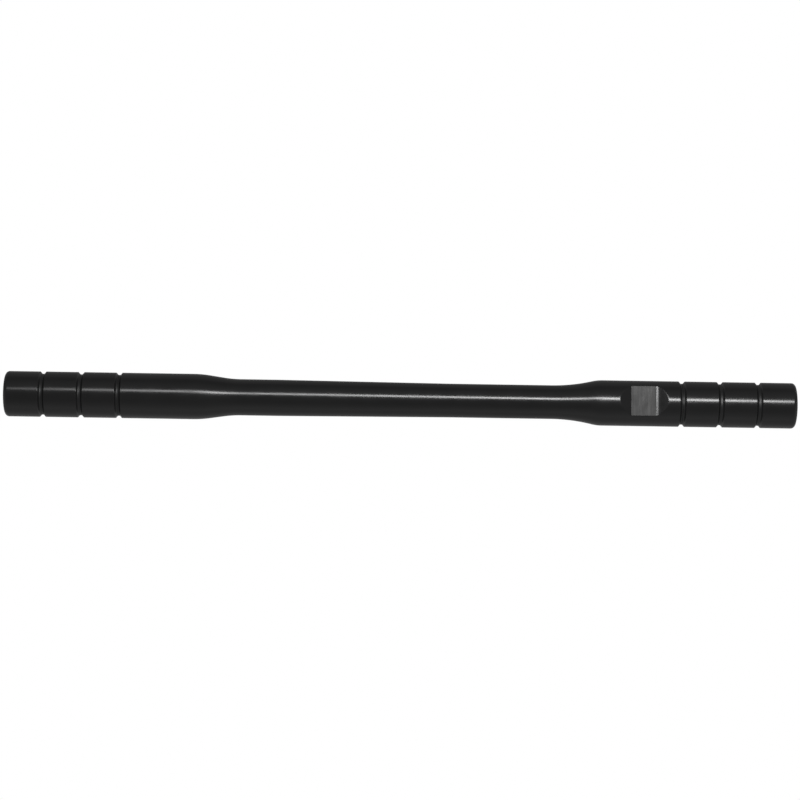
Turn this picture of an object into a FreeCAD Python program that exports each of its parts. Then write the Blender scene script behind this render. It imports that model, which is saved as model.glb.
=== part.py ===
# Spring bar tool: a waisted handle with a fork tip and a pin tip, each under a grooved pull-off cap.
#
# The handle lies along X, with the middle of the tool at the origin and a wrench flat facing +Z. The fork end
# is at +X. The pieces of each end are drawn in the frame of that end's joint: its origin is the centre of the
# joint between handle and cap, and its X axis points out of the handle. They are then placed at their end.

import FreeCAD, Part
import math
import os

import Sketcher

# The driving dimensions, in millimetres: alias, value, meaning.
DIMENSIONS = [
    ("tool_length", 139.0, "end face to end face, caps on"),
    ("tool_diameter", 8.0, "both grips and both caps"),
    ("cap_length", 20.0, "end face to the joint with the handle"),
    ("plug_length", 6.6, "end face to the joint in the outer groove"),
    ("groove_pitch", 6.7, "middle groove to the joint with the handle"),
    ("groove_width", 1.1, "every groove, across its mouth"),
    ("groove_depth", 0.4, "every groove"),
    ("groove_bottom", 0.42, "every groove, level part of its bottom"),
    ("joint_gap", 0.04, "hairline between handle and cap"),
    ("end_rounding", 0.7, "edge of each end face"),
    ("pin_shoulder", 34.5, "pin end face to the edge of the pin end grip"),
    ("pin_flare", 5.5, "length of the cone down to the waist"),
    ("flare_blend", 20.0, "rounding at both edges of that cone"),
    ("fork_shoulder", 34.9, "fork end face to the edge of the fork end grip"),
    ("fork_flare", 8.9, "length of the hollow curve down to the waist"),
    ("shoulder_blend", 8.0, "rounding of that edge"),
    ("thick_waist", 6.38, "waist diameter beside the pin end grip"),
    ("thin_waist", 5.94, "waist diameter beside the fork end grip"),
    ("taper_start", 21.3, "middle to where the waist starts tapering, towards the pin end"),
    ("taper_end", 8.7, "middle to where the waist stops tapering, towards the fork end"),
    ("flat_place", 26.85, "fork end face to the middle of the wrench flats"),
    ("flat_length", 4.4, "level part of each wrench flat"),
    ("flat_across", 6.0, "across the two wrench flats"),
    ("flat_ramp", 2.45, "length of the slope at each end of a flat"),
    ("foot_run", 0.42, "hollow at the foot of the slope towards the fork end, along the tool"),
    ("foot_rise", 0.105, "the same hollow, in height"),
    ("socket_diameter", 4.6, "hole in the handle for the bush"),
    ("socket_depth", 5.3, "depth of that hole"),
    ("shank_length", 5.0, "bush inside the handle"),
    ("spigot_diameter", 5.2, "bush inside the cap"),
    ("spigot_length", 5.0, "bush outside the handle"),
    ("thread_diameter", 2.5, "M2.5 thread that holds a tip"),
    ("thread_fit", 0.02, "gap between a plain thread and its hole"),
    ("thread_length", 7.5, "thread on a ferrule"),
    ("thread_depth", 8.6, "threaded hole in the bush"),
    ("cap_bore", 5.3, "bore of the cap sleeve"),
    ("ring_place", 2.6, "joint to the middle of the O-ring"),
    ("ring_cord", 0.78, "thickness of the O-ring as fitted"),
    ("ring_slack", 0.02, "O-ring to the spigot and to its groove"),
    ("ring_groove_width", 1.0, "groove for the O-ring, along the cap"),
    ("plug_shank", 3.0, "plug inside the sleeve"),
    ("plug_bore", 4.1, "hollow of the plug"),
    ("plug_floor", 1.6, "thickness of the closed end"),
    ("bumper_thickness", 0.8, "rubber disc in the plug"),
    ("collar_diameter", 3.8, "collar of a ferrule"),
    ("collar_length", 1.8, "collar of a ferrule"),
    ("collar_across", 3.0, "across the spanner flats of a collar"),
    ("nose_base", 3.1, "nose of a ferrule beside its collar"),
    ("nose_tip", 2.5, "nose of a ferrule at its mouth"),
    ("nose_length", 2.8, "nose of a ferrule"),
    ("tip_rod", 1.6, "hardened rod of the fork and of the pin"),
    ("rod_socket", 4.0, "rod inside its ferrule"),
    ("tip_reach", 16.7, "joint to the point of either tip"),
    ("fork_width", 2.6, "across both tines"),
    ("fork_head", 4.1, "full width of the fork, along the tool"),
    ("fork_spread", 1.7, "cone from the rod to the fork"),
    ("fork_root", 0.8, "thickness where the fork's faces begin"),
    ("fork_edge", 0.5, "thickness at the points of the tines"),
    ("notch_width", 1.1, "between the tines"),
    ("notch_depth", 1.4, "between the tines, to the bottom"),
    ("pin_diameter", 0.9, "working end of the drift pin"),
    ("pin_length", 3.9, "working end of the drift pin"),
    ("pin_cone", 1.3, "cone from the rod to the working end"),
    ("pin_point", 0.25, "rounding of the pin's point"),
    ("small_chamfer", 0.2, "deburred mouths and edges"),
]

# What joins a corner of an outline to the one before it.
LINE = "straight line"
ARC_FROM = "arc that leaves the corner before along the run before"
ARC_INTO = "arc that arrives along the run after"

AWAY = 1.0  # how far a cutting outline is drawn past the piece that it cuts, in mm


class Size:
    """A length in mm that remembers the sheet expression it is worked out from."""

    def __init__(self, value, text):
        self.value = value
        self.text = text

    def combined(self, sign, other, value):
        return Size(value, f"({self.text} {sign} {other.text})")

    def __add__(self, other):
        other = sized(other)
        return self.combined("+", other, self.value + other.value)

    def __sub__(self, other):
        other = sized(other)
        return self.combined("-", other, self.value - other.value)

    def __mul__(self, other):
        other = sized(other)
        return self.combined("*", other, self.value * other.value)

    def __truediv__(self, other):
        other = sized(other)
        return self.combined("/", other, self.value / other.value)

    def __neg__(self):
        return sized(0) - self


def sized(number):
    return number if isinstance(number, Size) else Size(float(number), f"{number:g}")


def fill_sheet(doc):
    """Writes the dimensions into the sheet and returns them as sizes, by alias."""
    sheet = doc.addObject("Spreadsheet::Sheet", "dimensions")
    sizes = {}
    for row, (alias, value, meaning) in enumerate(DIMENSIONS, start=1):
        sheet.set(f"A{row}", meaning)
        sheet.set(f"B{row}", f"{value:g}")
        sheet.setAlias(f"B{row}", alias)
        sizes[alias] = Size(value, f"dimensions.{alias}")
    doc.recompute()
    return sizes


def arc_centre(here, there, tangent):
    """Centre of the circle through both points that runs along tangent at the first one."""
    normal = FreeCAD.Vector(-tangent.y, tangent.x, 0)
    chord = there - here
    return here + normal * (chord.dot(chord) / (2 * chord.dot(normal)))


class Outline:
    """A closed sketch whose corners are bound to the sheet, drawn run by run."""

    def __init__(self, body, name, plane, steps):
        self.sketch = body.newObject("Sketcher::SketchObject", name)
        origin = body.Origin.OriginFeatures
        self.sketch.AttachmentSupport = [(next(o for o in origin if o.Role == plane), "")]
        self.sketch.MapMode = "FlatFace"
        self.steps = [step if len(step) == 3 else (*step, LINE) for step in steps]
        self.points = [FreeCAD.Vector(x.value, y.value, 0) for x, y, kind in self.steps]
        self.ends = []  # for each run, (start position, end position) as the sketcher numbers them
        for index in range(len(self.steps)):
            self.add_run(index)
        for index in range(len(self.steps)):
            self.join_run(index)
            self.place_corner(index)

    def direction(self, index):
        """Direction of a straight run, which ends at corner index."""
        run = self.points[index] - self.points[index - 1]
        return run.normalize()

    def add_run(self, index):
        first, last = self.points[index - 1], self.points[index]
        kind = self.steps[index][2]
        if kind == LINE:
            self.sketch.addGeometry(Part.LineSegment(first, last))
            self.ends.append((1, 2))
            return
        if kind == ARC_FROM:
            centre = arc_centre(first, last, self.direction(index - 1))
        else:
            centre = arc_centre(last, first, self.direction((index + 1) % len(self.steps)))
        start, end = (math.atan2(point.y - centre.y, point.x - centre.x) for point in (first, last))
        leftwards = (first - centre).cross(last - centre).z > 0
        if not leftwards:
            start, end = end, start
        if end < start:
            end += 2 * math.pi
        circle = Part.Circle(centre, FreeCAD.Vector(0, 0, 1), (first - centre).Length)
        self.sketch.addGeometry(Part.ArcOfCircle(circle, start, end))
        self.ends.append((1, 2) if leftwards else (2, 1))

    def join_run(self, index):
        """Joins the end of run index to the start of the next one."""
        following = (index + 1) % len(self.steps)
        smooth = self.steps[index][2] == ARC_INTO or self.steps[following][2] == ARC_FROM
        kind = "Tangent" if smooth else "Coincident"
        here, there = self.ends[index][1], self.ends[following][0]
        self.sketch.addConstraint(Sketcher.Constraint(kind, index, here, following, there))

    def place_corner(self, index):
        x, y, _ = self.steps[index]
        here = self.ends[index][1]
        for kind, size, axis in (("DistanceX", x, -2), ("DistanceY", y, -1)):
            if size.text == "0":
                self.sketch.addConstraint(Sketcher.Constraint("PointOnObject", index, here, axis))
                continue
            number = self.sketch.addConstraint(
                Sketcher.Constraint(kind, -1, 1, index, here, size.value)
            )
            name = f"{'across' if kind == 'DistanceX' else 'up'}_{index}"
            self.sketch.renameConstraint(number, name)
            self.sketch.setExpression(f"Constraints.{name}", size.text)


def turned(doc, label, steps):
    """A body turned about the X axis from a half section of (along, radius) corners."""
    body = doc.addObject("PartDesign::Body", label)
    body.Label = label
    section = Outline(body, f"{label}_section", "XY_Plane", steps).sketch
    solid = body.newObject("PartDesign::Revolution", f"{label}_turned")
    solid.Profile = section
    solid.ReferenceAxis = (section, ["H_Axis"])
    solid.Angle = 360
    doc.recompute()
    return body


def checked_cut(doc, body, feature):
    """Recomputes, makes feature the body's result and makes sure that it took material away."""
    before = body.Shape.Volume
    doc.recompute()
    body.Tip = feature
    doc.recompute()
    if not feature.Shape.Volume < before - 1e-6:
        raise RuntimeError(f"{feature.Name} cuts nothing")
    return feature


def bored(doc, body, name, steps):
    """Turns a hole about the X axis out of a body."""
    section = Outline(body, f"{name}_section", "XY_Plane", steps).sketch
    hole = body.newObject("PartDesign::Groove", name)
    hole.Profile = section
    hole.ReferenceAxis = (section, ["H_Axis"])
    hole.Angle = 360
    return checked_cut(doc, body, hole)


def milled(doc, body, name, plane, steps):
    """Cuts an outline right through a body, both ways from its plane."""
    section = Outline(body, f"{name}_section", plane, steps).sketch
    cut = body.newObject("PartDesign::Pocket", name)
    cut.Profile = section
    cut.SideType = "Symmetric"
    cut.Type = "ThroughAll"
    return checked_cut(doc, body, cut)


def twice_around(doc, body, feature):
    """Repeats a cut on the opposite side of the X axis."""
    pattern = body.newObject("PartDesign::PolarPattern", f"{feature.Name}_pair")
    pattern.Originals = [feature]
    axis = next(o for o in body.Origin.OriginFeatures if o.Role == "X_Axis")
    pattern.Axis = (axis, [""])
    pattern.Angle = 360
    pattern.Occurrences = 2
    return checked_cut(doc, body, pattern)


def round_edges(doc, body, name, radius, places):
    """Fillets the circular edges that stand at the given (along, radius) places."""
    base = body.Tip
    wanted = []
    for number, edge in enumerate(base.Shape.Edges, start=1):
        box = edge.BoundBox
        for along, distance in places:
            level = abs(box.XMin - along.value) < 1e-3 and box.XLength < 1e-3
            if level and abs(box.YLength / 2 - distance.value) < 1e-3:
                wanted.append(f"Edge{number}")
    if len(wanted) != len(places):
        raise RuntimeError(f"{name}: {len(wanted)} edges found for {len(places)} places")
    fillet = body.newObject("PartDesign::Fillet", name)
    fillet.Base = (base, wanted)
    fillet.setExpression("Radius", radius.text)
    doc.recompute()
    body.Tip = fillet
    doc.recompute()


class Tool:
    """Builds every piece of the tool in one document."""

    def __init__(self, doc):
        self.doc = doc
        self.sizes = fill_sheet(doc)
        self.zero = sized(0)
        self.radius = self.sizes["tool_diameter"] / 2
        self.groove_floor = self.radius - self.sizes["groove_depth"]
        self.land = self.sizes["groove_bottom"] / 2
        self.brink = self.sizes["groove_width"] / 2
        self.half_gap = self.sizes["joint_gap"] / 2
        self.joint_x = self.sizes["tool_length"] / 2 - self.sizes["cap_length"]
        self.half_length = self.sizes["tool_length"] / 2
        self.pieces = []

    def keep(self, piece):
        self.pieces.append(piece)
        return piece

    def place_at_end(self, piece, end, turn=FreeCAD.Rotation(), along=None):
        """Puts a piece, drawn in the frame of a joint, at the fork end (+1) or the pin end (-1)."""
        facing = FreeCAD.Rotation(FreeCAD.Vector(0, 0, 1), 0 if end > 0 else 180)
        piece.Placement = FreeCAD.Placement(FreeCAD.Vector(), facing * turn)
        distance = self.joint_x + (along or self.zero)
        piece.setExpression("Placement.Base.x", (distance * end).text)

    def handle(self):
        s, zero = self.sizes, self.zero
        edge = self.joint_x - self.half_gap
        thick, thin = s["thick_waist"] / 2, s["thin_waist"] / 2
        pin_shoulder = s["pin_shoulder"] - self.half_length
        pin_waist = pin_shoulder + s["pin_flare"]
        fork_shoulder = self.half_length - s["fork_shoulder"]
        body = self.keep(turned(self.doc, "handle", [
            (-edge, zero),
            (-edge, self.groove_floor),
            (-(self.joint_x - self.land), self.groove_floor),
            (-(self.joint_x - self.brink), self.radius),
            (pin_shoulder, self.radius),
            (pin_waist, thick),
            (-s["taper_start"], thick),
            (s["taper_end"], thin),
            (fork_shoulder - s["fork_flare"], thin),
            (fork_shoulder, self.radius, ARC_FROM),
            (self.joint_x - self.brink, self.radius),
            (self.joint_x - self.land, self.groove_floor),
            (edge, self.groove_floor),
            (edge, zero),
        ]))
        blended = [(pin_shoulder, self.radius), (pin_waist, thick)]
        round_edges(self.doc, body, "pin_flare_blend", s["flare_blend"], blended)
        shoulder = [(fork_shoulder, self.radius)]
        round_edges(self.doc, body, "fork_shoulder_blend", s["shoulder_blend"], shoulder)
        self.wrench_flats(body)
        socket = s["socket_diameter"] / 2
        for name, end in (("pin_socket", -1), ("fork_socket", 1)):
            mouth = self.joint_x * end
            lip = (self.joint_x - self.half_gap - s["small_chamfer"]) * end
            floor = (self.joint_x - s["socket_depth"]) * end
            bored(self.doc, body, name, [
                (mouth, zero),
                (mouth, socket + s["small_chamfer"] + self.half_gap),
                (lip, socket),
                (floor, socket),
                (floor, zero),
            ])

    def wrench_flats(self, body):
        """Two opposed flats with a slope at each end, the outer one with a hollow foot."""
        s = self.sizes
        middle = self.half_length - s["flat_place"]
        level = s["flat_across"] / 2
        half = s["flat_length"] / 2
        height = self.radius - level + s["small_chamfer"]
        outer_left, outer_right = middle - half - s["flat_ramp"], middle + half + s["flat_ramp"]
        top = self.radius + AWAY
        flat = milled(self.doc, body, "wrench_flat", "XZ_Plane", [
            (outer_left, top),
            (outer_left, level + height),
            (middle - half, level),
            (middle + half, level),
            (middle + half + s["foot_run"], level + s["foot_rise"], ARC_FROM),
            (outer_right, level + height),
            (outer_right, top),
        ])
        twice_around(self.doc, body, flat)

    def bush(self, label, end):
        """Brass bush: pressed into the handle, tapped for the tip, with the cap's spigot outside."""
        s, zero = self.sizes, self.zero
        chamfer = s["small_chamfer"]
        shank, spigot = s["socket_diameter"] / 2, s["spigot_diameter"] / 2
        thread = s["thread_diameter"] / 2
        body = self.keep(turned(self.doc, label, [
            (-s["shank_length"], zero),
            (-s["shank_length"], shank - chamfer),
            (-s["shank_length"] + chamfer, shank),
            (-self.half_gap, shank),
            (-self.half_gap, spigot),
            (s["spigot_length"] - chamfer, spigot),
            (s["spigot_length"], spigot - chamfer),
            (s["spigot_length"], zero),
        ]))
        floor = s["spigot_length"] - s["thread_depth"]
        bored(self.doc, body, f"{label}_tapping", [
            (s["spigot_length"] + AWAY, zero),
            (s["spigot_length"] + AWAY, thread + chamfer),
            (s["spigot_length"], thread + chamfer),
            (s["spigot_length"] - chamfer, thread),
            (floor, thread),
            (floor - thread / 2, zero),
        ])
        self.place_at_end(body, end)

    def ferrule(self, label, end):
        """Threaded ferrule with a spanner collar, which holds the hardened rod of a tip."""
        s, zero = self.sizes, self.zero
        seat = s["spigot_length"]
        collar_end = seat + s["collar_length"]
        nose_end = collar_end + s["nose_length"]
        thread = s["thread_diameter"] / 2 - s["thread_fit"]
        collar, chamfer = s["collar_diameter"] / 2, s["small_chamfer"]
        body = self.keep(turned(self.doc, label, [
            (seat - s["thread_length"], zero),
            (seat - s["thread_length"], thread - chamfer),
            (seat - s["thread_length"] + chamfer, thread),
            (seat, thread),
            (seat, collar - chamfer),
            (seat + chamfer, collar),
            (collar_end - chamfer, collar),
            (collar_end, collar - chamfer),
            (collar_end, s["nose_base"] / 2),
            (nose_end, s["nose_tip"] / 2),
            (nose_end, zero),
        ]))
        rod = s["tip_rod"] / 2
        bored(self.doc, body, f"{label}_rod_socket", [
            (nose_end + AWAY, zero),
            (nose_end + AWAY, rod),
            (nose_end - s["rod_socket"], rod),
            (nose_end - s["rod_socket"], zero),
        ])
        level = s["collar_across"] / 2
        flat = milled(self.doc, body, f"{label}_spanner_flat", "XZ_Plane", [
            (seat + s["small_chamfer"] * 2, level),
            (collar_end, level),
            (collar_end, collar + AWAY),
            (seat + s["small_chamfer"] * 2, collar + AWAY),
        ])
        twice_around(self.doc, body, flat)
        self.place_at_end(body, end)

    def rod_start(self):
        """Where a tip's rod begins, at the bottom of its ferrule's socket."""
        s = self.sizes
        return s["spigot_length"] + s["collar_length"] + s["nose_length"] - s["rod_socket"]

    def fork_blade(self, label, end):
        """Turned blank, milled flat on two sides and notched to catch the collar of a spring bar."""
        s, zero = self.sizes, self.zero
        point, rod, half = s["tip_reach"], s["tip_rod"] / 2, s["fork_width"] / 2
        head = point - s["fork_head"]
        blank_start = head - s["fork_spread"]
        body = self.keep(turned(self.doc, label, [
            (self.rod_start(), zero),
            (self.rod_start(), rod),
            (blank_start, rod),
            (head, half),
            (point - s["small_chamfer"], half),
            (point, half - s["small_chamfer"]),
            (point, zero),
        ]))
        face = milled(self.doc, body, f"{label}_face", "XZ_Plane", [
            (blank_start, rod),
            (head, s["fork_root"] / 2),
            (point + AWAY, s["fork_edge"] / 2),
            (point + AWAY, half + AWAY),
            (blank_start, half + AWAY),
        ])
        twice_around(self.doc, body, face)
        notch = s["notch_width"] / 2
        bottom = point - s["notch_depth"]
        milled(self.doc, body, f"{label}_notch", "XY_Plane", [
            (point + AWAY, -notch),
            (point + AWAY, notch),
            (bottom + notch, notch),
            (bottom, zero, ARC_FROM),
            (bottom + notch, -notch, ARC_INTO),
        ])
        self.place_at_end(body, end)

    def drift_pin(self, label, end):
        """Hardened rod drawn down to the pin that pushes a spring bar out through a drilled lug."""
        s, zero = self.sizes, self.zero
        point, rod, pin = s["tip_reach"], s["tip_rod"] / 2, s["pin_diameter"] / 2
        pin_start = point - s["pin_length"]
        body = self.keep(turned(self.doc, label, [
            (self.rod_start(), zero),
            (self.rod_start(), rod),
            (pin_start - s["pin_cone"], rod),
            (pin_start, pin),
            (point, pin),
            (point, zero),
        ]))
        round_edges(self.doc, body, f"{label}_point", s["pin_point"], [(point, pin)])
        self.place_at_end(body, end)

    def cap_sleeve(self, label, end):
        """Sleeve of a cap: grooved grip outside, plain bore inside with a groove for the O-ring."""
        s = self.sizes
        bore, depth = s["cap_bore"] / 2, s["groove_depth"]
        mouth, back = self.half_gap, s["cap_length"] - s["plug_length"]
        ring_half = s["ring_groove_width"] / 2
        ring_floor = s["spigot_diameter"] / 2 + s["ring_cord"] + s["ring_slack"] * 2
        body = self.keep(turned(self.doc, label, [
            (mouth, bore + s["small_chamfer"]),
            (mouth, self.groove_floor),
            (self.land, self.groove_floor),
            (self.brink, self.radius),
            (back - self.brink, self.radius),
            (back - self.land, self.groove_floor),
            (back, self.groove_floor),
            (back, bore),
            (s["ring_place"] + ring_half, bore),
            (s["ring_place"] + ring_half, ring_floor),
            (s["ring_place"] - ring_half, ring_floor),
            (s["ring_place"] - ring_half, bore),
            (mouth + s["small_chamfer"], bore),
        ]))
        middle = s["groove_pitch"]
        over = self.radius + depth
        beyond = self.brink * 2 - self.land
        bored(self.doc, body, f"{label}_groove", [
            (middle - self.land, self.groove_floor),
            (middle + self.land, self.groove_floor),
            (middle + beyond, over),
            (middle - beyond, over),
        ])
        self.place_at_end(body, end)

    def cap_plug(self, label, end):
        """Closed end of a cap: a thimble pressed into the sleeve, meeting it in the outer groove."""
        s, zero = self.sizes, self.zero
        joint, face = s["cap_length"] - s["plug_length"], s["cap_length"]
        shank, hollow = s["cap_bore"] / 2, s["plug_bore"] / 2
        start = joint - s["plug_shank"]
        body = self.keep(turned(self.doc, label, [
            (start, hollow),
            (start, shank - s["small_chamfer"]),
            (start + s["small_chamfer"], shank),
            (joint, shank),
            (joint, self.groove_floor),
            (joint + self.land, self.groove_floor),
            (joint + self.brink, self.radius),
            (face, self.radius),
            (face, zero),
            (face - s["plug_floor"], zero),
            (face - s["plug_floor"], hollow),
        ]))
        round_edges(self.doc, body, f"{label}_rounding", s["end_rounding"], [(face, self.radius)])
        self.place_at_end(body, end)

    def cap_ring(self, label, end):
        """O-ring that holds the cap on the spigot."""
        s = self.sizes
        ring = self.keep(self.doc.addObject("Part::Torus", label))
        ring.Label = label
        cord_radius = s["ring_cord"] / 2
        middle = s["spigot_diameter"] / 2 + s["ring_slack"] + cord_radius
        ring.setExpression("Radius1", middle.text)
        ring.setExpression("Radius2", cord_radius.text)
        facing_out = FreeCAD.Rotation(FreeCAD.Vector(0, 1, 0), 90)
        self.place_at_end(ring, end, facing_out, s["ring_place"])

    def cap_bumper(self, label, end):
        """Rubber disc at the bottom of a cap, which a dropped tip meets before the metal."""
        s = self.sizes
        disc = self.keep(self.doc.addObject("Part::Cylinder", label))
        disc.Label = label
        disc.setExpression("Radius", (s["plug_bore"] / 2).text)
        disc.setExpression("Height", s["bumper_thickness"].text)
        facing_out = FreeCAD.Rotation(FreeCAD.Vector(0, 1, 0), 90)
        place = s["cap_length"] - s["plug_floor"] - s["bumper_thickness"]
        self.place_at_end(disc, end, facing_out, place)

    def build(self):
        self.handle()
        for prefix, end in (("pin", -1), ("fork", 1)):
            self.bush(f"{prefix}_end_bush", end)
            self.ferrule(f"{prefix}_ferrule", end)
            self.cap_sleeve(f"{prefix}_cap_sleeve", end)
            self.cap_plug(f"{prefix}_cap_plug", end)
            self.cap_ring(f"{prefix}_cap_ring", end)
            self.cap_bumper(f"{prefix}_cap_bumper", end)
        self.drift_pin("drift_pin", -1)
        self.fork_blade("fork_blade", 1)
        self.doc.recompute()
        return self.pieces


def check(doc, pieces):
    """Stops the build if any object failed or any piece isn't one valid solid."""
    for item in doc.Objects:
        if "Invalid" in item.State or "Error" in item.State:
            raise RuntimeError(f"{item.Label} failed: {item.State}")
        if item.TypeId == "Sketcher::SketchObject" and item.solve() != 0:
            raise RuntimeError(f"{item.Label} doesn't solve")
    for piece in pieces:
        shape = piece.Shape
        if shape.isNull() or not shape.isValid() or len(shape.Solids) != 1:
            raise RuntimeError(f"{piece.Label} isn't one valid solid")


def main():
    doc = FreeCAD.newDocument("spring_bar_tool")
    pieces = Tool(doc).build()
    check(doc, pieces)
    os.makedirs("parts", exist_ok=True)
    for piece in pieces:
        piece.Shape.exportStep(os.path.join("parts", f"{piece.Label}.step"))
        print(f"{piece.Label:18s} {piece.Shape.Volume:9.3f} mm3")


main()
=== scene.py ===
"""Looks of the spring bar tool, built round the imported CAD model.

The handle lies along X with a wrench flat facing +Z, and the fork end is at +X. An outline's corners are
(along the axis, radius, rounding) in millimetres, drawn with the metal on the right. The pieces of an end
are drawn in the frame of that end's joint, whose X axis points out of the handle.
"""

import math

import bpy
import numpy as np
from mathutils import Matrix, Vector


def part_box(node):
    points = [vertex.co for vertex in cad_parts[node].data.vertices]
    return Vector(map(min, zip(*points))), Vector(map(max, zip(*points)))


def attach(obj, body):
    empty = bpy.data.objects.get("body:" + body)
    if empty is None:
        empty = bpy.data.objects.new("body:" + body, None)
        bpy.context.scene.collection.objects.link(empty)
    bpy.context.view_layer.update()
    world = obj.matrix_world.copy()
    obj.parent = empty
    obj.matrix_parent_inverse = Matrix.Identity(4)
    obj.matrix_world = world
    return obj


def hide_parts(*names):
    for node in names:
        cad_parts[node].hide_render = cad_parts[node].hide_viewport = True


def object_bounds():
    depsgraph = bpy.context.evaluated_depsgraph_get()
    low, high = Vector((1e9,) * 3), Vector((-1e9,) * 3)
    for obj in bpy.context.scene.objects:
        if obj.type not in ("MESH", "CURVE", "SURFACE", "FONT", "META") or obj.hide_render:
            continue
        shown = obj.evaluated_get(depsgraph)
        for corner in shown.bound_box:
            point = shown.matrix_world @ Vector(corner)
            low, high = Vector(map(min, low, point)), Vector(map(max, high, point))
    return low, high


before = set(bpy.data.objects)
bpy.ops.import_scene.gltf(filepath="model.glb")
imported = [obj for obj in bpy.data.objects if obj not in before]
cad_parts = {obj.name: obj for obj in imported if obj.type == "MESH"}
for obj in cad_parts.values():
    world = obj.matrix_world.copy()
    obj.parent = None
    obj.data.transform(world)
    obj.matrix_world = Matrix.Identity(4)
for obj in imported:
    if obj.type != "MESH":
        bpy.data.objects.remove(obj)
cad_low, cad_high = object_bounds()

MM = 0.001

# ---------------------------------------------------------------- sizes, in millimetres

ENDS = {"pin": -1, "fork": 1}


def span(node):
    """Lowest and highest place of a CAD node along X, and its largest radius."""
    low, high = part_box(node)
    return low.x / MM, high.x / MM, max(high.y, high.z) / MM


RADIUS = min(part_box("handle")[1].yz) / MM  # a hair under 4, because the CAD mesh is not quite round
HALF_GAP = 0.02
JOINT = span("handle")[1] + HALF_GAP
GROOVE_DEPTH = 0.4
GROOVE_LAND = 0.21  # half the level bottom of a groove
GROOVE_BRINK = 0.55  # half the width of a groove at the surface
GROOVE_ROUND = 0.25  # foot of each wall of a groove
GROOVE_FLOOR = RADIUS - GROOVE_DEPTH
BREAK = 0.03  # edges that are only deburred
LIP = 0.08  # edges that fingers meet
QUARTER_STEPS = 7  # of a quarter of a circle in an outline
LONGEST_STEP = 0.4  # of an arc in an outline
EDGE_TURN = -0.3  # radians; a corner that turns outwards by more than this can rub
EDGE_ROUNDING = 0.6  # and so can one whose rounding is smaller than this
AROUND = 192  # steps round a turned piece
AROUND_CARVED = 96  # and round one that is carved afterwards
CUTTER_REACH = 4.0  # half the depth of a cutter, past any piece it cuts
SHARP_FROM = math.radians(32)  # faces that meet at more than this have an edge between them
BROKEN_FROM = math.radians(40)  # and at more than this it is broken


def local_span(node, end):
    """The span of a CAD node in the frame of the joint at that end."""
    low, high, radius = span(node)
    first, last = sorted(place * ENDS[end] - JOINT for place in (low, high))
    return first, last, radius


# ---------------------------------------------------------------- outlines and turned pieces


def rounded(corners, closed=False):
    """Points, normals and edge marks of an outline, with an arc at each of its corners."""
    points, normals, marks = [], [], []
    count = len(corners)
    for index, (x, r, rounding) in enumerate(corners):
        here = np.array((x, r))
        if not closed and index in (0, count - 1):
            neighbour = np.array(corners[1 if index == 0 else count - 2][:2])
            way = (neighbour - here) * (1 if index == 0 else -1)
            way /= np.linalg.norm(way)
            points.append(here)
            normals.append((-way[1], way[0]))
            marks.append(0.0)
            continue
        before = here - np.array(corners[index - 1][:2])
        after = np.array(corners[(index + 1) % count][:2]) - here
        before /= np.linalg.norm(before)
        after /= np.linalg.norm(after)
        turn = math.atan2(before[0] * after[1] - before[1] * after[0], before @ after)
        start = here - before * rounding * math.tan(abs(turn) / 2)
        centre = start + np.array((-before[1], before[0])) * math.copysign(rounding, turn)
        by_angle = round(QUARTER_STEPS * abs(turn) / (math.pi / 2)) + 1
        by_length = round(rounding * abs(turn) / LONGEST_STEP)
        pieces = max(2, by_angle, by_length)
        is_edge = turn < EDGE_TURN and rounding < EDGE_ROUNDING
        for step in range(pieces + 1):
            angle = turn * step / pieces
            way = before * math.cos(angle) + np.array((-before[1], before[0])) * math.sin(angle)
            normal = np.array((-way[1], way[0]))
            points.append(centre - normal * math.copysign(rounding, turn))
            normals.append(normal)
            marks.append(1.0 if is_edge and 0 < step < pieces else 0.0)
    return np.array(points), np.array(normals), np.array(marks)


def make_mesh(name, vertices, faces, normals=None, **marks):
    """A smooth mesh object, with its own normals where they are given, and marks for its material."""
    mesh = bpy.data.meshes.new(name)
    mesh.from_pydata(vertices.tolist(), [], faces)
    mesh.polygons.foreach_set("use_smooth", [True] * len(faces))
    for mark, values in marks.items():
        mesh.attributes.new(mark, "FLOAT", "POINT").data.foreach_set("value", values)
    if normals is not None:
        mesh.normals_split_custom_set_from_vertices(normals.tolist())
    piece = bpy.data.objects.new(name, mesh)
    bpy.context.scene.collection.objects.link(piece)
    return piece


def turned_arrays(outline, closed, angles):
    """Vertices, faces, normals and marks of an outline turned about X. On the axis, a point is one vertex."""
    points, normals, marks = outline
    around = len(angles)
    cosines, sines = np.cos(angles), np.sin(angles)
    vertices, vertex_normals, vertex_marks, rings = [], [], [], []
    for (x, r), (normal_x, normal_r), mark in zip(points, normals, marks):
        first = len(vertices)
        if r < 1e-9:
            rings.append([first])
            vertices.append((x, 0.0, 0.0))
            vertex_normals.append((math.copysign(1.0, normal_x), 0.0, 0.0))
            vertex_marks.append(mark)
            continue
        rings.append([first + step for step in range(around)])
        vertices.extend(zip([x] * around, r * cosines, r * sines))
        vertex_normals.extend(zip([normal_x] * around, normal_r * cosines, normal_r * sines))
        vertex_marks.extend([mark] * around)
    faces = []
    pairs = list(zip(rings, rings[1:])) + ([(rings[-1], rings[0])] if closed else [])
    for here, there in pairs:
        for step in range(around):
            after = (step + 1) % around
            if len(here) == 1:
                faces.append((here[0], there[after], there[step]))
            elif len(there) == 1:
                faces.append((here[step], here[after], there[0]))
            else:
                faces.append((here[step], here[after], there[after], there[step]))
    return np.array(vertices), faces, np.array(vertex_normals), np.array(vertex_marks)


def at_end(end):
    """Matrix from the frame of the joint at an end, in millimetres, to the row's frame."""
    facing = Matrix.Rotation(0 if ENDS[end] > 0 else math.pi, 4, "Z")
    return Matrix.Scale(MM, 4) @ Matrix.Translation((JOINT * ENDS[end], 0, 0)) @ facing


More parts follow.
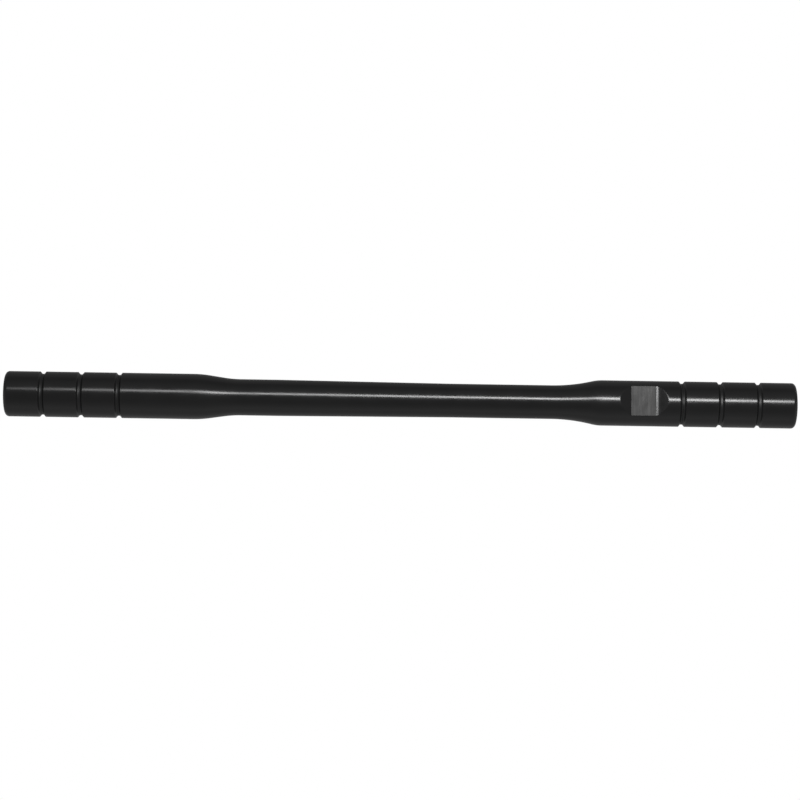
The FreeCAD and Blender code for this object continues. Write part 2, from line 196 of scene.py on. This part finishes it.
def recessed(vertices):
    """How far each vertex is below the surface of a grip, as a share of a groove's depth."""
    return np.clip((RADIUS - np.hypot(vertices[:, 1], vertices[:, 2])) / GROOVE_DEPTH, 0, 1)


def turned(name, corners, matrix, closed=False):
    """A piece turned from an outline and put in place."""
    angles = np.arange(AROUND) * 2 * math.pi / AROUND
    outline = rounded(corners, closed)
    vertices, faces, normals, marks = turned_arrays(outline, closed, angles)
    rotation = np.array(matrix.to_3x3().normalized())
    recess = recessed(vertices)
    vertices = vertices @ np.array(matrix.to_3x3()).T + np.array(matrix.translation)
    return make_mesh(name, vertices, faces, normals @ rotation.T, edge=marks, recess=recess)


def prism(corners, up_axis):
    """A cutter: an outline of (along the axis, up) pushed through the tool, square to both."""
    vertices = []
    for through in (-CUTTER_REACH, CUTTER_REACH):
        for along, up in corners:
            vertices.append((along, up, through) if up_axis == "Y" else (along, through, up))
    count = len(corners)
    faces = [tuple(range(count))[::-1], tuple(range(count, 2 * count))]
    for index in range(count):
        after = (index + 1) % count
        faces.append((index, after, count + after, count + index))
    area = sum(x0 * y1 - x1 * y0 for (x0, y0), (x1, y1) in zip(corners, corners[1:] + corners[:1]))
    if (area < 0) != (up_axis == "Z"):
        faces = [face[::-1] for face in faces]
    return make_mesh("cutter", np.array(vertices), faces)


def carved(name, corners, cutters, end):
    """A piece turned from an outline, with the cutters taken out of it and its edges broken."""
    angles = np.arange(AROUND_CARVED) * 2 * math.pi / AROUND_CARVED
    vertices, faces, _, _ = turned_arrays(rounded(corners), False, angles)
    piece = make_mesh(name, vertices, faces)
    for cutter in cutters:
        cut = piece.modifiers.new("cut", "BOOLEAN")
        cut.operation = "DIFFERENCE"
        cut.solver = "EXACT"
        cut.object = cutter
    bpy.context.view_layer.update()
    shape = piece.evaluated_get(bpy.context.evaluated_depsgraph_get())
    mesh = bpy.data.meshes.new_from_object(shape)
    piece.modifiers.clear()
    piece.data = mesh
    for cutter in cutters:
        bpy.data.objects.remove(cutter)
    mesh.transform(at_end(end))
    mesh.set_sharp_from_angle(angle=SHARP_FROM)
    broken = piece.modifiers.new("broken_edges", "BEVEL")
    broken.width = BREAK * MM
    broken.segments = 2
    broken.limit_method = "ANGLE"
    broken.angle_limit = BROKEN_FROM
    weighted = piece.modifiers.new("weighted", "WEIGHTED_NORMAL")
    weighted.keep_sharp = True
    return piece


# ---------------------------------------------------------------- the handle

FLAT_MIDDLE, FLAT_HALF = 42.65, 2.2
FLAT_LEVEL = 3.0
FLAT_RIM_ANGLE = math.acos(FLAT_LEVEL / RADIUS)
FLAT_HALF_WIDTH = RADIUS * math.sin(FLAT_RIM_ANGLE)
RAMP_RUN, RAMP_RISE = 2.45, 1.2  # the slope at each end of a flat
FOOT_RUN, FOOT_RISE = 0.42, 0.105  # hollow at the foot of the slope towards the fork end
HAIR = 0.001
RIM = 0.05  # how softly a flat meets the round of the grip
RIM_RUB = 0.35  # how far the rim of a flat has rubbed
PIN_SHOULDER, PIN_WAIST = -35.0, -29.5
TAPER = (-21.3, 8.7)
THICK, THIN = 3.19, 2.97
FORK_WAIST, FORK_SHOULDER = 25.7, 34.6
FLARE_BLEND, SHOULDER_BLEND = 20.0, 8.0
SOCKET, SOCKET_DEPTH = 2.3, 5.3
MOUTH = 0.2


def handle_corners():
    """Outline of the handle from the bottom of the pin end's socket to the bottom of the fork end's."""
    face = JOINT - HALF_GAP
    socket = [
        (JOINT - SOCKET_DEPTH, SOCKET, BREAK),
        (face - MOUTH, SOCKET, BREAK),
        (face, SOCKET + MOUTH, BREAK),
        (face, GROOVE_FLOOR, BREAK / 2),
        (JOINT - GROOVE_LAND, GROOVE_FLOOR, GROOVE_ROUND),
        (JOINT - GROOVE_BRINK, RADIUS, LIP),
    ]
    rise = RADIUS - THIN
    reach = FORK_SHOULDER - FORK_WAIST
    flare = 2 * math.atan(rise / reach)
    tangent = reach / (1 + math.cos(flare))
    flare_radius = tangent / math.tan(flare / 2) - SHOULDER_BLEND - LIP
    return [
        (-(JOINT - SOCKET_DEPTH), 0.0, 0),
        *[(-x, r, rounding) for x, r, rounding in socket],
        (PIN_SHOULDER, RADIUS, FLARE_BLEND),
        (PIN_WAIST, THICK, FLARE_BLEND),
        (TAPER[0], THICK, FLARE_BLEND),
        (TAPER[1], THIN, FLARE_BLEND),
        (FORK_WAIST + tangent, THIN, flare_radius),
        (FORK_SHOULDER, RADIUS, SHOULDER_BLEND),
        *reversed(socket),
        (JOINT - SOCKET_DEPTH, 0.0, 0),
    ]


def flat_height(x):
    """Height of the cutter's path above the axis at each place, and its slope."""
    past = np.clip(np.abs(x - FLAT_MIDDLE) - FLAT_HALF, 0, None)
    towards_waist = x < FLAT_MIDDLE
    hollow = (FOOT_RUN**2 + FOOT_RISE**2) / (2 * FOOT_RISE)
    in_hollow = np.minimum(past, FOOT_RUN)
    drop = np.sqrt(hollow**2 - in_hollow**2)
    ramp = (RAMP_RISE - FOOT_RISE) / (RAMP_RUN - FOOT_RUN)
    fork_side = hollow - drop + (past - in_hollow) * ramp
    waist_side = past * RAMP_RISE / RAMP_RUN
    waist_slope = -RAMP_RISE / RAMP_RUN * (past > HAIR / 2)
    height = FLAT_LEVEL + np.where(towards_waist, waist_side, fork_side)
    return height, np.where(towards_waist, waist_slope, in_hollow / drop)


def flat_places():
    """Where the rings of the handle stand along the wrench flats: closest together on the slopes."""
    hollow_rings, fork_rings, waist_rings, level_rings = 16, 40, 44, 9
    hollow = np.linspace(0, FOOT_RUN, hollow_rings)
    fork_ramp = np.linspace(FOOT_RUN, RAMP_RUN - HAIR, fork_rings)[1:]
    waist_ramp = np.concatenate(([0], np.linspace(HAIR, RAMP_RUN - HAIR, waist_rings)))
    level = np.linspace(-FLAT_HALF, FLAT_HALF, level_rings)[1:-1]
    fork_side = FLAT_HALF + np.concatenate((hollow, fork_ramp))
    return FLAT_MIDDLE + np.concatenate((-(FLAT_HALF + waist_ramp)[::-1], level, fork_side))


def handle_angles():
    """Angles round the handle: close together where the flats are, with one on the rim of each flat."""
    on_flat, past_rim, on_side = 46, 6, 22  # steps of a quarter turn
    edge = math.sin(FLAT_RIM_ANGLE)
    across = np.linspace(0, edge, on_flat)
    outside = edge + np.arange(1, past_rim + 1) * (across[1] - across[0])
    from_top = np.arcsin(np.concatenate((across, outside)))
    quarter = np.concatenate((from_top, np.linspace(from_top[-1], math.pi / 2, on_side)[1:]))
    half = np.concatenate((-quarter[:0:-1], quarter))
    return np.concatenate((half[:-1] + math.pi / 2, half[:-1] + 3 * math.pi / 2))


def handle_rings():
    """Points, normals and edge marks of the handle's outline, with more rings along the flats."""
    points, normals, marks = rounded(handle_corners())
    extra = flat_places()
    after_shoulder = np.nonzero(points[:, 0] < extra[0])[0][-1] + 1
    rings = np.column_stack((extra, np.full(len(extra), RADIUS)))
    points = np.insert(points, after_shoulder, rings, axis=0)
    normals = np.insert(normals, after_shoulder, np.tile((0.0, 1.0), (len(extra), 1)), axis=0)
    marks = np.insert(marks, after_shoulder, np.zeros(len(extra)))
    return points, normals, marks


def cut_flats(vertices, normals, marks):
    """Presses both flats into the turned handle, and gives how far each vertex is on a smooth slope."""
    x, y, z = vertices.T.copy()
    height, slope = flat_height(x)
    beside_flat = np.abs(x - FLAT_MIDDLE) < FLAT_HALF + RAMP_RUN
    may_be_cut = beside_flat & (np.abs(z) > 0.8 * FLAT_LEVEL)
    # 1 on the round of the grip, 0 on a flat or its slopes, and between them along the rim
    share = np.where(may_be_cut, np.clip(0.5 + 0.5 * (height - np.abs(z)) / RIM, 0, 1), 1.0)
    level = share * np.abs(z) + (1 - share) * height - RIM * share * (1 - share)
    changed = share < 1.0
    cut = np.column_stack((-(1 - share) * slope, share * y, np.sign(z)))[changed]
    cut[:, 1] /= np.abs(z[changed])
    normals[changed] = cut / np.linalg.norm(cut, axis=1)[:, None]
    vertices[changed, 2] = (np.sign(z) * level)[changed]
    marks[changed & (share > 0.05)] = RIM_RUB
    on_ramp = np.clip((x - FLAT_MIDDLE - FLAT_HALF - FOOT_RUN) / FOOT_RUN, 0, 1)
    return (1 - share) * on_ramp


def handle():
    """Handle with both wrench flats, whose level parts take the second material."""
    vertices, faces, normals, marks = turned_arrays(handle_rings(), False, handle_angles())
    milled = cut_flats(vertices, normals, marks)
    in_groove = np.abs(vertices[:, 0]) > JOINT - 2 * GROOVE_BRINK
    recess = np.where(in_groove, recessed(vertices), 0.0)
    piece = make_mesh(
        "handle_body", vertices * MM, faces, normals, edge=marks, recess=recess, milled=milled
    )
    middles = vertices[np.array([face[:3] for face in faces])].mean(axis=1)
    x, y, z = np.abs(middles - (FLAT_MIDDLE, 0, 0)).T
    on_flat = (x < FLAT_HALF) & (y < FLAT_HALF_WIDTH) & (z > 0.9 * FLAT_LEVEL)
    piece.data.polygons.foreach_set("material_index", on_flat.astype(int))
    return piece


# ---------------------------------------------------------------- pieces of each end


def bush(end):
    """Brass bush, tapped for the tip, with the spigot that carries the cap."""
    first, last, spigot = local_span(f"{end}_end_bush", end)
    shank, thread, depth, chamfer = 2.3, 1.25, 8.6, 0.2
    floor = last - depth
    return turned(f"{end}_bush_brass", [
        (first, 0.0, 0),
        (first, shank - chamfer, BREAK),
        (first + chamfer, shank, BREAK),
        (-HALF_GAP, shank, BREAK / 2),
        (-HALF_GAP, spigot, BREAK),
        (last - chamfer, spigot, LIP),
        (last, spigot - chamfer, LIP),
        (last, thread + chamfer, BREAK),
        (last - chamfer, thread, BREAK),
        (floor, thread, BREAK),
        (floor - thread / 2, 0.0, 0),
    ], at_end(end))


def ferrule(end):
    """Plated ferrule: threaded shank, collar with two spanner flats, and a tapered nose round the rod."""
    first, last, collar = local_span(f"{end}_ferrule", end)
    seat = local_span(f"{end}_end_bush", end)[1]
    collar_length, thread, chamfer = 1.8, 1.23, 0.2
    nose_base, nose_tip, rod, socket, spanner = 1.55, 1.25, 0.8, 4.0, 1.5
    collar_end = seat + collar_length
    flats = [
        prism([
            (seat + 2 * chamfer, side * spanner),
            (collar_end, side * spanner),
            (collar_end, side * (collar + 1)),
            (seat + 2 * chamfer, side * (collar + 1)),
        ], "Z")
        for side in (-1, 1)
    ]
    return carved(f"{end}_ferrule_body", [
        (first, 0.0, 0),
        (first, thread - chamfer, BREAK),
        (first + chamfer, thread, BREAK),
        (seat, thread, BREAK),
        (seat, collar - chamfer, BREAK),
        (seat + chamfer, collar, LIP),
        (collar_end - chamfer, collar, LIP),
        (collar_end, collar - chamfer, BREAK),
        (collar_end, nose_base, BREAK),
        (last, nose_tip, BREAK),
        (last, rod, BREAK),
        (last - socket, rod, BREAK),
        (last - socket, 0.0, 0),
    ], flats, end)


def cap_sleeve(end):
    """Tube of a cap, with half a groove at each end, one in the middle and one inside for the O-ring."""
    first, last, _ = local_span(f"{end}_cap_sleeve", end)
    bore, chamfer, middle, ring, ring_half = 2.65, 0.2, 6.7, 2.6, 0.5
    ring_floor = local_span(f"{end}_cap_ring", end)[2] + 0.02
    return turned(f"{end}_sleeve_body", [
        (first, bore + chamfer, BREAK),
        (first, GROOVE_FLOOR, BREAK / 2),
        (GROOVE_LAND, GROOVE_FLOOR, GROOVE_ROUND),
        (GROOVE_BRINK, RADIUS, LIP),
        (middle - GROOVE_BRINK, RADIUS, LIP),
        (middle - GROOVE_LAND, GROOVE_FLOOR, GROOVE_ROUND),
        (middle + GROOVE_LAND, GROOVE_FLOOR, GROOVE_ROUND),
        (middle + GROOVE_BRINK, RADIUS, LIP),
        (last - GROOVE_BRINK, RADIUS, LIP),
        (last - GROOVE_LAND, GROOVE_FLOOR, GROOVE_ROUND),
        (last, GROOVE_FLOOR, BREAK / 2),
        (last, bore, BREAK),
        (ring + ring_half, bore, BREAK),
        (ring + ring_half, ring_floor, BREAK),
        (ring - ring_half, ring_floor, BREAK),
        (ring - ring_half, bore, BREAK),
        (first + chamfer, bore, BREAK),
    ], at_end(end), closed=True)


def cap_plug(end):
    """Closed end of a cap: a thimble whose shank is pressed into the sleeve."""
    first, last, _ = local_span(f"{end}_cap_plug", end)
    joint = local_span(f"{end}_cap_sleeve", end)[1]
    shank, hollow, chamfer, floor, rounding = 2.65, 2.05, 0.2, 1.6, 0.7
    return turned(f"{end}_plug_body", [
        (last - floor, 0.0, 0),
        (last - floor, hollow, BREAK),
        (first, hollow, BREAK),
        (first, shank - chamfer, BREAK),
        (first + chamfer, shank, BREAK),
        (joint, shank, BREAK),
        (joint, GROOVE_FLOOR, BREAK / 2),
        (joint + GROOVE_LAND, GROOVE_FLOOR, GROOVE_ROUND),
        (joint + GROOVE_BRINK, RADIUS, LIP),
        (last, RADIUS, rounding),
        (last, 0.0, 0),
    ], at_end(end))


def cap_ring(end):
    """O-ring that holds a cap on its spigot."""
    first, last, outside = local_span(f"{end}_cap_ring", end)
    cord = (last - first) / 2
    middle, ring = (first + last) / 2, outside - cord
    corners = [
        (middle + cord * along, ring + cord * out, cord)
        for along, out in ((-1, -1), (-1, 1), (1, 1), (1, -1))
    ]
    return turned(f"{end}_o_ring", corners, at_end(end), closed=True)


def cap_bumper(end):
    """Rubber disc at the bottom of a cap."""
    first, last, outside = local_span(f"{end}_cap_bumper", end)
    return turned(f"{end}_bumper_disc", [
        (first, 0.0, 0),
        (first, outside, LIP),
        (last, outside, LIP),
        (last, 0.0, 0),
    ], at_end(end))


def drift_pin():
    """Hardened pin, stepped down from its rod."""
    first, last, rod = local_span("drift_pin", "pin")
    pin, length, cone, point = 0.45, 3.9, 1.3, 0.25
    return turned("drift_pin_body", [
        (first, 0.0, 0),
        (first, rod, BREAK),
        (last - length - cone, rod, 0.4),
        (last - length, pin, 0.6),
        (last, pin, point),
        (last, 0.0, 0),
    ], at_end("pin"))


def fork_blade():
    """Hardened blade: a rod that swells into a head, milled thin on both faces and notched."""
    first, last, _ = local_span("fork_blade", "fork")
    rod, half, head_length, spread = 0.8, 1.3, 4.1, 1.7
    root, edge, notch, notch_depth, past, chamfer = 0.4, 0.25, 0.55, 1.4, 1.0, 0.2
    head, bottom = last - head_length, last - notch_depth
    cutters = [
        prism([
            (head - spread, side * rod),
            (head, side * root),
            (last + past, side * edge),
            (last + past, side * (half + past)),
            (head - spread, side * (half + past)),
        ], "Z")
        for side in (-1, 1)
    ]
    round_bottom = [math.pi / 2 + math.pi * step / 24 for step in range(25)]
    cutters.append(prism([
        (last + past, -notch),
        (last + past, notch),
        *[(bottom + notch + notch * math.cos(angle), notch * math.sin(angle)) for angle in round_bottom],
    ], "Y"))
    return carved("fork_blade_body", [
        (first, 0.0, 0),
        (first, rod, BREAK),
        (head - spread, rod, 0.3),
        (head, half, 0.4),
        (last - chamfer, half, BREAK),
        (last, half - chamfer, BREAK),
        (last, 0.0, 0),
    ], cutters, "fork")


# ---------------------------------------------------------------- materials


def between(tree, factor, low, high, start=0.0, end=1.0):
    """low to high as factor goes from start to end."""
    node = tree.nodes.new("ShaderNodeMapRange")
    tree.links.new(factor, node.inputs["Value"])
    node.inputs["From Min"].default_value = start
    node.inputs["From Max"].default_value = end
    node.inputs["To Min"].default_value = low
    node.inputs["To Max"].default_value = high
    return node.outputs["Result"]


def colours(tree, factor, low, high):
    """The colour low to high, each of them a colour or an output, as factor goes from 0 to 1."""
    node = tree.nodes.new("ShaderNodeMix")
    node.data_type = "RGBA"
    tree.links.new(factor, node.inputs["Factor"])
    targets = [socket for socket in node.inputs if socket.type == "RGBA"]
    for target, colour in zip(targets, (low, high)):
        if isinstance(colour, tuple):
            target.default_value = (*colour, 1)
        else:
            tree.links.new(colour, target)
    return next(socket for socket in node.outputs if socket.type == "RGBA")


class Surface:
    """A Principled material and the procedural patterns that drive it."""

    def __init__(self, name, **sockets):
        self.material = bpy.data.materials.new(name)
        self.material.use_nodes = True
        self.tree = self.material.node_tree
        self.shader = self.tree.nodes["Principled BSDF"]
        for socket, value in sockets.items():
            self.shader.inputs[socket.replace("_", " ")].default_value = value
        self.place = self.tree.nodes.new("ShaderNodeTexCoord").outputs["Object"]

    def noise(self, scale, detail=3.0):
        """Noise whose features are scale = (x, y, z) millimetres long."""
        mapping = self.tree.nodes.new("ShaderNodeMapping")
        mapping.inputs["Scale"].default_value = [1 / (size * MM) for size in scale]
        self.tree.links.new(self.place, mapping.inputs["Vector"])
        texture = self.tree.nodes.new("ShaderNodeTexNoise")
        texture.inputs["Scale"].default_value = 1.0
        texture.inputs["Detail"].default_value = detail
        self.tree.links.new(mapping.outputs["Vector"], texture.inputs["Vector"])
        return texture.outputs["Fac"]

    def attribute(self, name):
        """A mark that make_mesh put on the piece; 0 where the piece hasn't got it."""
        node = self.tree.nodes.new("ShaderNodeAttribute")
        node.attribute_name = name
        return node.outputs["Fac"]

    def between(self, factor, low, high, start=0.0, end=1.0):
        """low to high as factor goes from start to end."""
        return between(self.tree, factor, low, high, start, end)

    def math(self, operation, first, second):
        """Two outputs, or an output and a number, put together."""
        node = self.tree.nodes.new("ShaderNodeMath")
        node.operation = operation
        for socket, value in zip(node.inputs, (first, second)):
            if isinstance(value, float):
                socket.default_value = value
            else:
                self.tree.links.new(value, socket)
        return node.outputs["Value"]

    def colours(self, factor, low, high):
        """The colour low to high, each of them a colour or an output, as factor goes from 0 to 1."""
        return colours(self.tree, factor, low, high)

    def drive(self, socket, output):
        """Lets an output drive a socket of the shader."""
        self.tree.links.new(output, self.shader.inputs[socket])

    def bump(self, height, strength, distance):
        """Fine relief, with its distance in millimetres."""
        node = self.tree.nodes.new("ShaderNodeBump")
        node.inputs["Strength"].default_value = strength
        node.inputs["Distance"].default_value = distance * MM
        self.tree.links.new(height, node.inputs["Height"])
        self.drive("Normal", node.outputs["Normal"])


def black_anodised():
    """Glossy black anodised aluminium over fine turning.

    It is lighter where edges have rubbed. The walls of its grooves are painted lighter, a painted light in
    place of the light they would catch. It is matt in the grooves and smoother on the milled slopes.
    """
    surface = Surface("black_anodised", IOR=1.5)
    patches = surface.noise((6, 3, 3))
    base = surface.colours(patches, (0.003, 0.003, 0.0031), (0.006, 0.006, 0.0062))
    rub = surface.noise((0.7, 0.5, 0.5), 5.0)
    uneven = surface.between(rub, 0.0, 0.5, 0.45, 0.75)
    worn = surface.math("MULTIPLY", surface.attribute("edge"), uneven)
    rubbed = surface.colours(worn, base, (0.022, 0.022, 0.0225))
    recess = surface.attribute("recess")
    # painted light: half way down a groove's walls the colour is lighter than the body's, standing in for
    # light the walls would catch
    wall = surface.math("MULTIPLY", recess, surface.math("SUBTRACT", 1.0, recess))
    painted_light_on_walls = surface.between(wall, 0.0, 1.0, 0.0, 0.25)
    surface.drive("Base Color", surface.colours(painted_light_on_walls, rubbed, (0.0105, 0.0105, 0.0106)))
    smudges = surface.between(surface.noise((3, 1.2, 1.2), 6.0), 0.155, 0.225, 0.3, 0.7)
    smoother = surface.math("MULTIPLY", surface.attribute("milled"), 0.1)
    outside = surface.math("SUBTRACT", smudges, smoother)
    in_groove = surface.math("MULTIPLY", recess, 0.4)
    surface.drive("Roughness", surface.math("MAXIMUM", outside, in_groove))
    rings = surface.noise((0.16, 9, 9), 2.0)
    surface.bump(rings, 0.12, 0.004)
    return surface.material


def brushed_flat():
    """Bare grey of the wrench flats, scratched across the tool by the cutter."""
    surface = Surface("brushed_flat", Metallic=0.85, Anisotropic=0.5)
    lines = surface.noise((0.12, 4, 4), 4.0)
    blotches = surface.noise((1.1, 1.6, 1.6), 4.0)
    some_lines = surface.math("MULTIPLY", lines, 0.6)
    some_blotches = surface.math("MULTIPLY", blotches, 0.4)
    both = surface.between(surface.math("ADD", some_lines, some_blotches), 0.0, 1.0, 0.35, 0.65)
    surface.drive("Base Color", surface.colours(both, (0.0135, 0.0135, 0.0135), (0.0285, 0.0285, 0.0282)))
    surface.drive("Roughness", surface.between(blotches, 0.32, 0.44, 0.3, 0.7))
    surface.bump(lines, 0.5, 0.01)
    return surface.material


def brass():
    """Turned brass, dulled unevenly."""
    surface = Surface("turned_brass", Metallic=1.0)
    tarnish = surface.noise((1.5, 1.2, 1.2), 6.0)
    dulled = surface.between(tarnish, 0.0, 1.0, 0.35, 0.7)
    surface.drive("Base Color", surface.colours(dulled, (0.76, 0.55, 0.24), (0.58, 0.39, 0.16)))
    surface.drive("Roughness", surface.between(tarnish, 0.2, 0.36, 0.35, 0.7))
    surface.bump(surface.noise((0.08, 8, 8), 3.0), 0.5, 0.004)
    return surface.material


def nickel():
    """Bright nickel plate over turned steel."""
    surface = Surface("nickel_plate", Metallic=1.0)
    haze = surface.noise((1.2, 1.0, 1.0), 5.0)
    surface.drive("Base Color", surface.colours(haze, (0.6, 0.58, 0.54), (0.7, 0.69, 0.66)))
    surface.drive("Roughness", surface.between(haze, 0.12, 0.24, 0.3, 0.7))
    surface.bump(surface.noise((0.1, 8, 8), 2.0), 0.3, 0.003)
    return surface.material


def tool_steel():
    """Hardened steel, ground along its length."""
    surface = Surface("ground_steel", Metallic=1.0)
    grain = surface.noise((4, 0.05, 0.05), 4.0)
    oil = surface.noise((1.6, 1.2, 1.2), 4.0)
    surface.drive("Base Color", surface.colours(oil, (0.3, 0.29, 0.28), (0.46, 0.45, 0.43)))
    surface.drive("Roughness", surface.between(grain, 0.24, 0.4, 0.3, 0.7))
    surface.bump(grain, 0.35, 0.004)
    return surface.material


def rubber():
    """Matt black nitrile with a mould's fine grain."""
    surface = Surface("nitrile", IOR=1.45)
    grain = surface.noise((0.12, 0.12, 0.12), 5.0)
    bloom = surface.noise((1.0, 1.0, 1.0), 3.0)
    surface.drive("Base Color", surface.colours(bloom, (0.012, 0.012, 0.012), (0.03, 0.03, 0.031)))
    surface.drive("Roughness", surface.between(grain, 0.55, 0.8, 0.3, 0.7))
    surface.bump(grain, 0.4, 0.01)
    return surface.material


# ---------------------------------------------------------------- putting the tool together


def fit(piece, node, body, slot, *materials):
    """Gives a piece its materials and hands it the CAD node it stands for."""
    for material in materials:
        piece.data.materials.append(material)
    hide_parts(node)
    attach(piece, body)


def assemble():
    """Makes every piece and puts it on its body."""
    black, flat, brass_look, plate, steel, seal = (
        black_anodised(), brushed_flat(), brass(), nickel(), tool_steel(), rubber()
    )
    fit(handle(), "handle", "handle", "black_anodised", black, flat)
    for end in ENDS:
        fit(bush(end), f"{end}_end_bush", "handle", "bush_brass", brass_look)
        fit(ferrule(end), f"{end}_ferrule", "handle", "ferrule_steel", plate)
        fit(cap_sleeve(end), f"{end}_cap_sleeve", f"{end}_cap", "black_anodised", black)
        fit(cap_plug(end), f"{end}_cap_plug", f"{end}_cap", "black_anodised", black)
        fit(cap_bumper(end), f"{end}_cap_bumper", f"{end}_cap", "seal_rubber", seal)
        fit(cap_ring(end), f"{end}_cap_ring", f"{end}_ring", "seal_rubber", seal)
    fit(drift_pin(), "drift_pin", "handle", "tool_steel", steel)
    fit(fork_blade(), "fork_blade", "handle", "tool_steel", steel)


# ---------------------------------------------------------------- studio


def seen_or_lit(tree, seen, lit):
    """Mixes what the camera sees directly with what lights the tool and shows in its gloss."""
    path = tree.nodes.new("ShaderNodeLightPath")
    mix = tree.nodes.new("ShaderNodeMixShader")
    tree.links.new(path.outputs["Is Camera Ray"], mix.inputs["Fac"])
    tree.links.new(lit, mix.inputs[1])
    tree.links.new(seen, mix.inputs[2])
    return mix.outputs["Shader"]


def emitter(tree, kind, level):
    """A node of that kind, giving off an even grey."""
    node = tree.nodes.new(kind)
    node.inputs["Color"].default_value = (level, level, level, 1)
    return node.outputs[0]


def levels(tree, factor, stops):
    """Grey levels along a ramp, given as (position, level)."""
    node = tree.nodes.new("ShaderNodeValToRGB")
    tree.links.new(factor, node.inputs["Fac"])
    elements = node.color_ramp.elements
    for position, level in stops[1:-1]:
        elements.new(position)
    for element, (position, level) in zip(elements, stops):
        element.position = position
        element.color = (level, level, level, 1)
    return node.outputs["Color"]


def room():
    """A white backdrop that is itself a dim room: lighter low down in front and high up behind."""
    world = bpy.data.worlds.new("studio")
    bpy.context.scene.world = world
    world.use_nodes = True
    tree = world.node_tree
    tree.nodes.clear()
    way = tree.nodes.new("ShaderNodeTexCoord").outputs["Generated"]
    split = tree.nodes.new("ShaderNodeSeparateXYZ")
    tree.links.new(way, split.inputs["Vector"])
    front = levels(tree, split.outputs["Z"], [(0.2, 0.45), (0.8, 0.25)])
    behind = levels(tree, split.outputs["Z"], [(0.3, 0.2), (0.8, 0.35)])
    from_front = between(tree, split.outputs["Y"], 0.0, 1.0, -0.1, 0.25)
    lit = tree.nodes.new("ShaderNodeBackground")
    tree.links.new(colours(tree, from_front, front, behind), lit.inputs["Color"])
    seen = emitter(tree, "ShaderNodeBackground", 1.0)
    output = tree.nodes.new("ShaderNodeOutputWorld")
    tree.links.new(seen_or_lit(tree, seen, lit.outputs[0]), output.inputs["Surface"])


def floor():
    """Plain white floor under the tool. It lights the tool only dimly, and least from just behind it."""
    half, fade = 6.0, 0.05  # metres
    corners = [(x * half, y * half, cad_low.z) for x, y in ((-1, -1), (1, -1), (1, 1), (-1, 1))]
    mesh = bpy.data.meshes.new("floor")
    mesh.from_pydata(corners, [], [(0, 1, 2, 3)])
    plane = bpy.data.objects.new("floor", mesh)
    bpy.context.scene.collection.objects.link(plane)
    material = bpy.data.materials.new("white_floor")
    material.use_nodes = True
    tree = material.node_tree
    tree.nodes.clear()
    seen = emitter(tree, "ShaderNodeEmission", 1.0)
    split = tree.nodes.new("ShaderNodeSeparateXYZ")
    tree.links.new(tree.nodes.new("ShaderNodeTexCoord").outputs["Object"], split.inputs["Vector"])
    lit = tree.nodes.new("ShaderNodeEmission")
    across = between(tree, split.outputs["Y"], 0.0, 1.0, -fade, fade)
    shade = levels(tree, across, [(0.0, 0.4), (0.4, 0.35), (0.55, 0.2), (1.0, 0.25)])
    tree.links.new(shade, lit.inputs["Color"])
    output = tree.nodes.new("ShaderNodeOutputMaterial")
    tree.links.new(seen_or_lit(tree, seen, lit.outputs[0]), output.inputs["Surface"])
    mesh.materials.append(material)


def strip_light():
    """Soft strip close over the tool, dark at its pin end. It draws the line of light along the tool."""
    lean, yaw, distance = math.radians(14.8), math.radians(-4.4), 0.13
    length, height = 0.2, 0.019
    glow = 84.0  # watts for each square metre of the strip
    light = bpy.data.lights.new("strip", "AREA")
    light.shape = "RECTANGLE"
    light.size, light.size_y = length, height
    light.energy = glow * length * height
    light.use_nodes = True
    tree = light.node_tree
    tree.nodes.clear()
    geometry = tree.nodes.new("ShaderNodeNewGeometry")
    split = tree.nodes.new("ShaderNodeSeparateXYZ")
    tree.links.new(geometry.outputs["Parametric"], split.inputs["Vector"])
    shade = levels(tree, split.outputs["X"], [(0.0, 0.0), (0.8, 0.9), (1.0, 0.4)])
    emission = tree.nodes.new("ShaderNodeEmission")
    tree.links.new(shade, emission.inputs["Color"])
    output = tree.nodes.new("ShaderNodeOutputLight")
    tree.links.new(emission.outputs["Emission"], output.inputs["Surface"])
    lamp = bpy.data.objects.new("strip", light)
    bpy.context.scene.collection.objects.link(lamp)
    way = Vector((0, math.sin(lean), math.cos(lean)))
    lamp.location = way * distance
    lamp.rotation_euler = (-lean, 0, yaw)
    lamp.visible_camera = False


def camera():
    """Nearly overhead, with the tool lying across the picture and a touch off level."""
    elevation, distance, roll = math.radians(80.8), 0.437, math.radians(0.9)
    picture_width = 0.14096  # what the picture spans at the tool
    aim = Vector((-0.00005, -0.00004, 0.0))
    data = bpy.data.cameras.new("camera")
    data.sensor_width = 36
    data.lens = data.sensor_width * distance / picture_width
    data.clip_start = 0.01
    eye = bpy.data.objects.new("camera", data)
    bpy.context.scene.collection.objects.link(eye)
    back = Vector((0, -math.cos(elevation), math.sin(elevation)))
    eye.location = aim + back * distance
    facing = (-back).to_track_quat("-Z", "Y").to_matrix().to_4x4()
    turn = facing @ Matrix.Rotation(roll, 4, "Z")
    eye.rotation_euler = turn.to_euler()
    bpy.context.scene.camera = eye


assemble()
room()
floor()
strip_light()
camera()
bpy.context.scene.view_settings.view_transform = "Standard"
